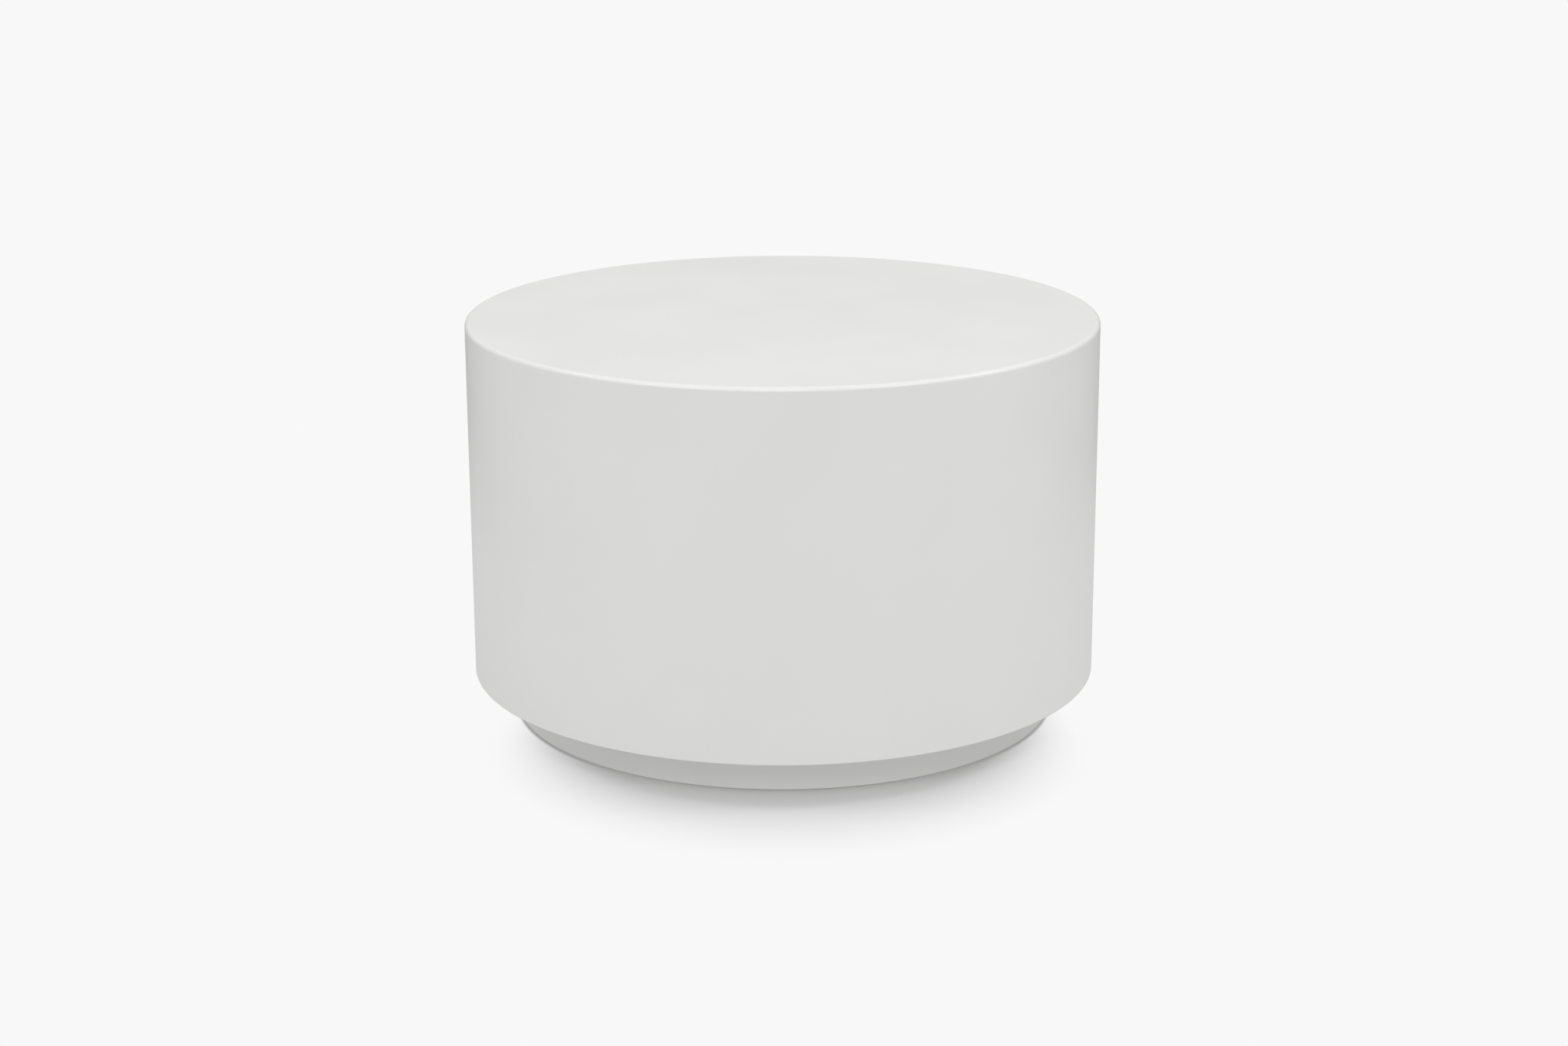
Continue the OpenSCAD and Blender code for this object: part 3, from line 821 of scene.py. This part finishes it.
# %% [markdown]
# ### Plinth bolts, washers and their inserts
# Four M6 socket head bolts hold the plinth to the drum. The head is knurled for the fingers, its
# hexagon has a small lead-in cone, and the thread is a fine even one with flat crests. The bolts
# go into brass-coloured inserts that are pressed into the wood: two knurled bands with a waist
# between, threaded inside.

# %% Bolts
machine_profile = [(0.0, 0.0), (0.25, 0.0), (0.5625, 1.0), (0.6875, 1.0)]
bolts, bolt_pitch, bolt_threaded = 4, 1.0, 25.0
bolt_head, bolt_socket, key_across = 6.0, 3.0, 5.0
bolt_core, bolt_crest, bolt_shank, bolt_tip = 2.45, 2.97, 2.98, 2.3
length = upright_length("plinth_bolts")
angle = turn_of(72)
hexagon = polygon_radius(angle, 6, key_across)
knurl = knurled(angle, 4.98, 4.70)
lead_in = [(np.maximum(hexagon, 3.05 - z), z) for z in (0.55, 0.35, 0.2, 0.1, 0.0)]
rings = [(0.0, bolt_socket + 0.4), (2.2, bolt_socket), (hexagon, bolt_socket)] + lead_in + [
    (4.58, 0.0), (4.68, 0.1), (4.92, 0.35), (4.92, 0.6), (knurl, 0.8), (knurl, 5.3), (4.9, 5.5),
    (4.88, 5.8), (4.7, bolt_head), (3.0, bolt_head), (bolt_shank, bolt_head + 0.2)]
turned = thread(angle, length - bolt_threaded, length, bolt_pitch, bolt_core, bolt_crest,
                machine_profile, bolt_shank, fade_out=0.6)
bolt = ring_stack(rings + chamfered(turned, bolt_tip, length) + [(0.0, length)], angle)
fasten("plinth_bolts", bolt, bolts, "zinc_steel")

# %% Washers
thick = upright_length("plinth_washers")
inner, outer, ease = 3.2, 6.0, 0.2
rings = [
    (inner, ease), (inner + ease, 0.0), (outer - ease, 0.0), (outer, ease), (outer, thick - ease),
    (outer - ease, thick), (inner + ease, thick), (inner, thick - ease), (inner, ease)]
fasten("plinth_washers", ring_stack(rings, turn_of(64)), bolts, "zinc_steel")

# %% Plinth inserts
tall = upright_length("plinth_inserts")
knurl = knurled(angle, 4.58, 4.38)
waist, insert_core, insert_groove = tall / 2, 3.05, 3.5
outside = [
    (insert_groove, 0.0), (4.2, 0.0), (4.3, 0.3), (knurl, 0.6), (knurl, waist - 1.2),
    (4.1, waist - 0.9), (4.1, waist + 0.9), (knurl, waist + 1.2), (knurl, tall - 0.6),
    (4.3, tall - 0.3), (4.2, tall), (insert_groove, tall)]
inside = thread(angle, 0.4, tall - 0.4, bolt_pitch, insert_core, insert_groove, machine_profile,
                insert_core, fade_out=1.0)
insert = ring_stack(outside + inside[::-1] + [(insert_groove, 0.0)], angle)
fasten("plinth_inserts", insert, bolts, "insert_metal")

# %% [markdown]
# ### Fluted dowels
# A beech dowel has pressed flutes that let the air and the glue out, and a chamfer at each end
# that leads it into its hole.

# %% Dowels
dowels, dowel_r, dowel_chamfer = 8, 4.0, 1.0
flutes, flute_deep = 16, 0.22
length = upright_length("plinth_dowels")
angle = turn_of(128)
fluted = dowel_r - play - flute_deep * np.maximum(0.0, np.cos(flutes * angle)) ** 2
rings = [
    (0.0, 0.0), (dowel_r - dowel_chamfer, 0.0), (fluted, dowel_chamfer),
    (fluted, length - dowel_chamfer), (dowel_r - dowel_chamfer, length), (0.0, length)]
fasten("plinth_dowels", ring_stack(rings, angle), dowels, "beech", half_step)

# %% [markdown]
# ### The levelling feet
# A foot is a nylon pad that turns freely on the disc of a steel spindle. The pad is moulded: a
# gate mark and a shallow ring groove underneath, a soft outer edge, and twelve ribs on its sloped
# top. The spindle has a hexagon collar for a spanner, chamfered like any nut, and an M8 thread
# that runs in an insert with a slotted flange.

# %% Pads
pad_r, pad_tall, pad_rim, hub_r = 17.0, 6.0, 2.5, 6.8
pocket_r, pocket_low, pocket_high, neck_r = 6.8, 1.6, 4.2, 4.3
ribs, rib_deep, rib_half = 12, 0.6, 3.75
angle = turn_of(96)


def degrees_from(angle, count):
    """The angle to the nearest of count equal directions, in degrees."""
    step = 360 / count
    return np.abs((np.degrees(angle) + step / 2) % step - step / 2)


hollow = np.clip((degrees_from(angle, ribs) - rib_half) / rib_half, 0, 1)


def slope(r, sunk=0.0):
    """A ring on the pad's sloped top at the radius r, sunk between the ribs."""
    rise = (pad_tall - pad_rim) / (pad_r - hub_r)
    return (r, pad_rim + (pad_r - r) * rise - play - sunk * hollow)


under = [
    (0.0, 0.35), (1.3, 0.35), (1.5, 0.05), (1.7, 0.0), (10.6, 0.0), (10.9, 0.3), (12.1, 0.3),
    (12.4, 0.0), (15.6, 0.0), (16.05, 0.12), (16.5, 0.55), (16.85, 1.0), (16.98, 1.5),
    (pad_r, 2.2), (16.9, 2.45)]
sloped = [slope(16.2), slope(15.6), slope(15.2, rib_deep), slope(9.4, rib_deep), slope(9.0),
          slope(7.2)]
hub = [(6.6, 5.97), (6.3, pad_tall), (4.7, pad_tall), (4.4, 5.88), (neck_r, 5.6),
       (neck_r, pocket_high + 0.2), (neck_r + 0.2, pocket_high), (pocket_r, pocket_high),
       (pocket_r, pocket_low), (0.0, pocket_low)]
pad = ring_stack(under + sloped + hub, angle)
print("pad:", ribs, "ribs,", len(pad), "rings")

# %% Spindles
disc_low, disc_high, disc_r = 1.9, 3.9, 6.5
collar_low, collar_high, collar_across, collar_face_r = 6.3, 9.8, 13.0, 6.2
spindle_top, spindle_pitch, spindle_tip = 36.1, 1.25, 3.3
spindle_core, spindle_r, spindle_crest = 3.32, 3.95, 3.97
angle = turn_of(48)
hexagon = polygon_radius(angle, 6, collar_across)
cone = math.sqrt(3)
widening = [(np.minimum(hexagon, collar_face_r + step * cone), collar_low + step)
            for step in (0.0, 0.15, 0.3, 0.5, 0.72)]
narrowing = [(r, collar_high + collar_low - z) for r, z in widening[::-1]]
rings = [
    (0.0, disc_low), (disc_r - 0.3, disc_low), (disc_r - 0.05, disc_low + 0.12),
    (disc_r, disc_low + 0.4), (disc_r, disc_high - 0.4), (disc_r - 0.05, disc_high - 0.12),
    (disc_r - 0.3, disc_high), (4.0, disc_high), (spindle_r, disc_high + 0.15),
    (spindle_r, collar_low)] + widening + narrowing + [
    (spindle_r, collar_high), (spindle_r, collar_high + 0.3)]
turned = thread(angle, collar_high + 0.3, spindle_top, spindle_pitch, spindle_core, spindle_crest,
                machine_profile, spindle_r, fade_out=0.8)
spindle = ring_stack(
    rings + chamfered(turned, spindle_tip, spindle_top) + [(0.0, spindle_top)], angle)
print("spindle:", spindle_top - disc_low, "mm long,", len(spindle), "rings")

# %% Foot inserts
feet, flange_low, flange_high, insert_top = 4, 10.1, 11.6, 24.1
flange_r, slot_r, slot_half, ease = 9.0, 7.2, 8.0, 0.25
groove_r, socket_r, coarse_pitch = 4.6, 4.05, 3.0
flange = np.where(degrees_from(angle, 2) < slot_half, slot_r, flange_r)
outside = [
    (groove_r, flange_low), (flange - ease, flange_low), (flange, flange_low + ease),
    (flange, flange_high - ease), (flange - ease, flange_high), (5.0, flange_high)]
coarse = thread(angle, flange_high + 0.1, insert_top - 0.3, coarse_pitch, 4.95, 5.58,
                wood_profile, 5.0, fade_out=1.5)
inside = thread(angle, flange_low + 0.5, insert_top - 0.5, spindle_pitch, socket_r, groove_r,
                machine_profile, socket_r, fade_out=1.0)
foot_insert = ring_stack(
    outside + coarse + [(4.8, insert_top), (groove_r, insert_top)] + inside[::-1]
    + [(groove_r, flange_low)], angle)
insert_spots = solids_of("foot_inserts", feet, math.pi / feet).mean(1) * [1, 1, 0]
make_piece("foot_inserts_cut", [placed(foot_insert, tip_up, spot) for spot in insert_spots],
           "insert_metal", "foot_inserts")

# %% Feet in place
for number in range(1, feet + 1):
    low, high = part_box(f"foot_pad_{number}")
    spot = np.array([(low.x + high.x) / 2, (low.y + high.y) / 2, 0.0])
    for part, points, body, slot_name in (
            ("foot_pad", pad, "foot", "nylon"),
            ("foot_spindle", spindle, "foot_screw", "zinc_steel")):
        node = f"{part}_{number}"
        make_piece(node + "_cut", [placed(points, tip_up, spot)], slot_name, node, f"{body}_{number}")

# %% [markdown]
# ## The lacquered boards
# The top, the skin and the plinth rings are what one sees. The CAD's own mesh of them is true to
# a fifth of a millimetre, which still shows where a bright line runs along a rim, so they are
# made again here, finer and to the same sizes, with every bore that the CAD has. Only the rim's
# rounding is tighter than the CAD's, 4 mm, which gives that line the width it has in the photo.
#
# A wall is a stack of rings, as before. A flat face with bores is cut into sixteen sectors with
# one fixing in each, or none. A sector is a grid too: its first row runs round the sector's
# outline, and its other rows are circles round the fixing's axis that go on down the bore.
# Neighbours share the points of their common side and the outline shares those of the walls, so
# merging close points welds it all into one closed board. A narrow ring beside each rounding
# keeps its soft shading off the flat face. A Boolean modifier could cut the bores, but it leaves
# long thin triangles that catch the light.

# %% Walls and roundings
columns, sectors = 384, 16
rim_r, arris_r, beside = 4.0, 1.0, 0.12


def quarter_round(x, z, r, first, steps):
    """Rings of a quarter circle: (x + r cos t, z + r sin t), t from first to first + 90 degrees."""
    t = np.radians(np.linspace(first, first + 90, steps + 1))
    return list(zip(x + r * np.cos(t), z + r * np.sin(t)))


def lower_edge(outer, low, r):
    """A lower edge rounded to the radius r, with a ring close beside each end of the round."""
    arc = quarter_round(outer - r, low + r, r, -90, 10)
    return [(outer - r - beside, low)] + arc + [(outer, low + r + beside)]


def wall(rings):
    """A turned surface with the columns that every board has."""
    return mm * ring_stack(rings, turn_of(columns))


# %% Faces with bores
def sector_outline(middle, inner_r, outer_r, side_steps=12):
    """Points round a sector of a ring: its outer arc, a side, the inner arc and the other side."""
    half, arc_steps = np.pi / sectors, columns // sectors
    across = np.linspace(-half, half, arc_steps + 1)
    outward = np.linspace(inner_r, outer_r, side_steps + 1)
    radius = np.concatenate([
        np.full(arc_steps, outer_r), outward[:0:-1], np.full(arc_steps, inner_r), outward])
    angle = middle + np.concatenate([
        across[:-1], np.full(side_steps, half), across[:0:-1], np.full(side_steps + 1, -half)])
    return np.stack([radius * np.cos(angle), radius * np.sin(angle)], -1)


def bored_face(span, outer_r, height, fixing_at, bores):
    """The sectors of a board's flat face, which reaches from span[0] out to outer_r.

    fixing_at(k) names the fixing in sector k and gives its distance from the table's axis, and
    bores[name] are the rings of its bore from this face inwards. Seen from the fixing's axis, a
    ring's point lies in the direction of the outline's, and that outline is the whole board's,
    so the rings of both faces agree.
    """
    surfaces = []
    for k in range(sectors):
        name, spot_r = fixing_at(k)
        middle = 2 * np.pi * k / sectors
        spot = spot_r * np.array([math.cos(middle), math.sin(middle)])
        outline = sector_outline(middle, span[0], outer_r)
        x, y = (sector_outline(middle, *span) - spot).T
        edge = np.column_stack([outline, np.full(len(outline), height)])
        bore = ring_stack(bores[name], np.arctan2(y, x)) + [*spot, 0.0]
        surfaces.append(mm * np.concatenate([edge[None], bore]))
    return surfaces


# %% [markdown]
# ### The skin
# A thin sheet is wrapped round the drum, and its lower edge is eased by 1 mm. One profile makes
# it: down the inside, round that edge, up the outside and back to where it began.

# %% Skin
skin_in, skin_out = radii_of("outer_skin")
low, high = heights_of("outer_skin")
rings = [(skin_in, high), (skin_in, low)] + lower_edge(skin_out, low, arris_r) + [
    (skin_out, high), (skin_in, high)]
make_piece("outer_skin_fine", [wall(rings)], "lacquer", "outer_skin")

# %% [markdown]
# ### The top panel
# A disc with a rounded rim. Eight screws come up into it, so every other sector of its underside
# has a pilot hole that ends in a cone, as the screw's point does. The middle of the underside has
# no fixing and is plain rings.

# %% Bores of the top panel
screw_circle = circle_of("top_panel_screws", screws, half_step)
low, high = heights_of("top_panel")
tip = heights_of("top_panel_screws")[1]
hole_fit, tip_r = 0.05, 0.4
pilot, hole_end = screw_r + hole_fit, tip + hole_fit
pilots = {
    "screw": [(pilot, low), (pilot, tip - screw_point), (tip_r + hole_fit, hole_end), (0.0, hole_end)],
    "plain": [(0.0, low)]}
print("screws of the top on a circle of radius", round(screw_circle, 2), "mm")


def panel_fixing(k):
    """A screw in every other sector."""
    return "screw" if k % 2 else "plain", screw_circle


# %% Top panel
top_out = radii_of("top_panel")[1]
face_in = top_out * 2 / 3
rim = quarter_round(top_out - rim_r, high - rim_r, rim_r, 0, 16)
rings = [(top_out, low), (top_out, high - rim_r - beside)] + rim + [
    (top_out - rim_r - beside, high), (face_in, high), (face_in / 2, high), (0.0, high)]
middle_disc = [(face_in, low), (face_in / 2, low), (0.0, low)]
underside = bored_face((face_in, top_out), top_out, low, panel_fixing, pilots)
make_piece("top_panel_fine", [wall(rings), wall(middle_disc)] + underside, "lacquer", "top_panel")

# %% [markdown]
# ### The plinth
# Two rings of board, one on the other, that dowels hold in line. Bolts, feet and dowels stand in
# bores that change width where a washer, a flange or a dowel's end sits. Those heights are
# measured on the parts themselves, so a bore ends where its part does.

# %% Bores of the plinth
plinth = radii_of("plinth_lower_ring")
bolt_circle = circle_of("plinth_bolts", bolts)
foot_circle = circle_of("foot_inserts", feet, math.pi / feet)
seat = heights_of("plinth_washers")[1]
insert_low, insert_high = heights_of("foot_inserts")
dowel_low, dowel_high = heights_of("plinth_dowels")
counterbore, bolt_bore, spindle_bore = 6.4, 3.4, 4.4
foot_recess, flange_seat, insert_bore = 20.0, 9.05, 5.65
dowel_bore, hole_low, hole_high = dowel_r + hole_fit, dowel_low - hole_fit, dowel_high + hole_fit
print("bolts at", round(bolt_circle, 2), "mm, feet and dowels at", round(foot_circle, 2), "mm")


def plinth_fixing(k):
    """A bolt every quarter turn, a foot half-way between two, and a dowel in all other sectors."""
    if k % 4 == 0:
        return "bolt", bolt_circle
    return "dowel" if k % 2 else "foot", foot_circle


def plinth_board(node, outside, from_below, from_above):
    """A board of the plinth: the rings of its outside, its inner wall and its two bored faces."""
    inner, outer = plinth
    low, high = heights_of(node)
    walls = [wall(outside), wall([(inner, low), (inner, high)])]
    underside = bored_face(plinth, outside[0][0], low, plinth_fixing, from_below)
    upper_side = bored_face(plinth, outer, high, plinth_fixing, from_above)
    make_piece(node + "_fine", walls + underside + upper_side, "lacquer", node)


# %% Plinth, lower ring
outer = plinth[1]
low, high = heights_of("plinth_lower_ring")
from_below = {
    "bolt": [(counterbore, low), (counterbore, seat), (bolt_bore, seat), (bolt_bore, high)],
    "foot": [(foot_recess, low), (foot_recess, insert_low), (flange_seat, insert_low),
             (flange_seat, flange_high), (insert_bore, flange_high), (insert_bore, high)],
    "dowel": [(0.0, low)]}
from_above = {
    "bolt": [(bolt_bore, high)], "foot": [(insert_bore, high)],
    "dowel": [(dowel_bore, high), (dowel_bore, hole_low), (0.0, hole_low)]}
outside = lower_edge(outer, low, arris_r) + [(outer, high)]
plinth_board("plinth_lower_ring", outside, from_below, from_above)

# %% Plinth, upper ring
low, high = heights_of("plinth_upper_ring")
from_below = {
    "bolt": [(bolt_bore, low), (bolt_bore, high)],
    "foot": [(insert_bore, low), (insert_bore, insert_high), (spindle_bore, insert_high),
             (spindle_bore, high)],
    "dowel": [(dowel_bore, low), (dowel_bore, hole_high), (0.0, hole_high)]}
from_above = {
    "bolt": [(bolt_bore, high)], "foot": [(spindle_bore, high)], "dowel": [(0.0, high)]}
plinth_board("plinth_upper_ring", [(outer, low), (outer, high)], from_below, from_above)
